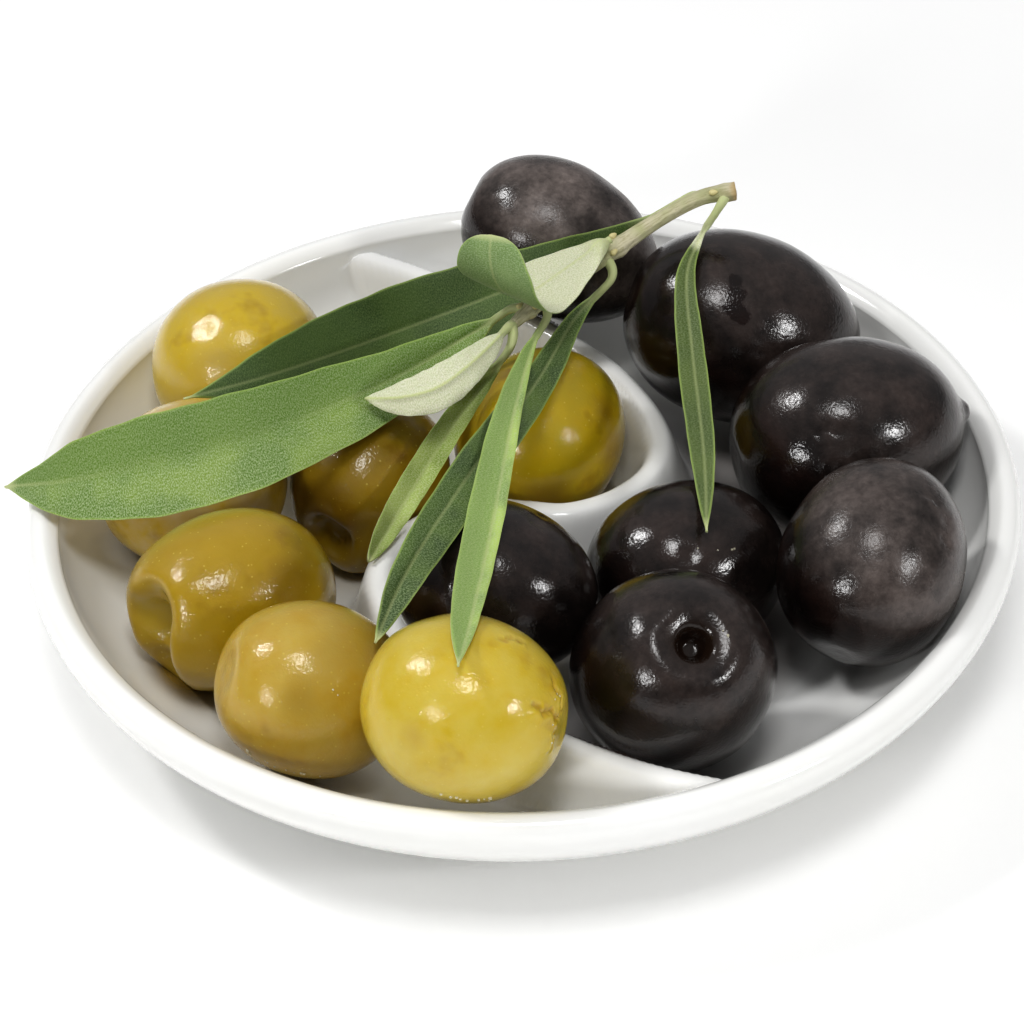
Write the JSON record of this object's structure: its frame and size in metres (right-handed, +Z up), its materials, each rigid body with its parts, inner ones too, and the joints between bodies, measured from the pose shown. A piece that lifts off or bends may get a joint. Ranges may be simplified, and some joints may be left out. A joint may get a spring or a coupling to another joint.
{
  "type": "dish of olives",
  "caption": "Shallow round white dish parted in two by an S-shaped ridge, with green olives, black olives and an olive sprig laid over them.",
  "frame": {"origin": "middle of the flat underside of the dish's foot", "axes": "+Z up, -Y towards the viewer, +X to the right, where the black olives lie; the tip of the longest leaf sticks out to -X"},
  "size_m": [0.1331, 0.13, 0.0484],
  "materials": {
    "dish": "white glossy glaze",
    "green_olive": "wet yellow-green olive skin",
    "black_olive": "wet dark purple-brown olive skin",
    "stem": "grey-green young twig",
    "leaf": "fine scaly leaf, pale below"
  },
  "bodies": {
    "root": {"dish": "dish", "green_olive_1": "green_olive", "green_olive_2": "green_olive", "green_olive_3": "green_olive", "green_olive_4": "green_olive", "green_olive_5": "green_olive", "green_olive_6": "green_olive", "green_olive_7": "green_olive", "black_olive_1": "black_olive", "black_olive_2": "black_olive", "black_olive_3": "black_olive", "black_olive_4": "black_olive", "black_olive_5": "black_olive", "black_olive_6": "black_olive", "black_olive_7": "black_olive", "stem": "stem", "leaf_1": "leaf", "leaf_2": "leaf", "leaf_3": "leaf", "leaf_4": "leaf", "leaf_5": "leaf", "leaf_6": "leaf", "leaf_7": "leaf", "leaf_8": "leaf"}
  },
  "joints": []
}
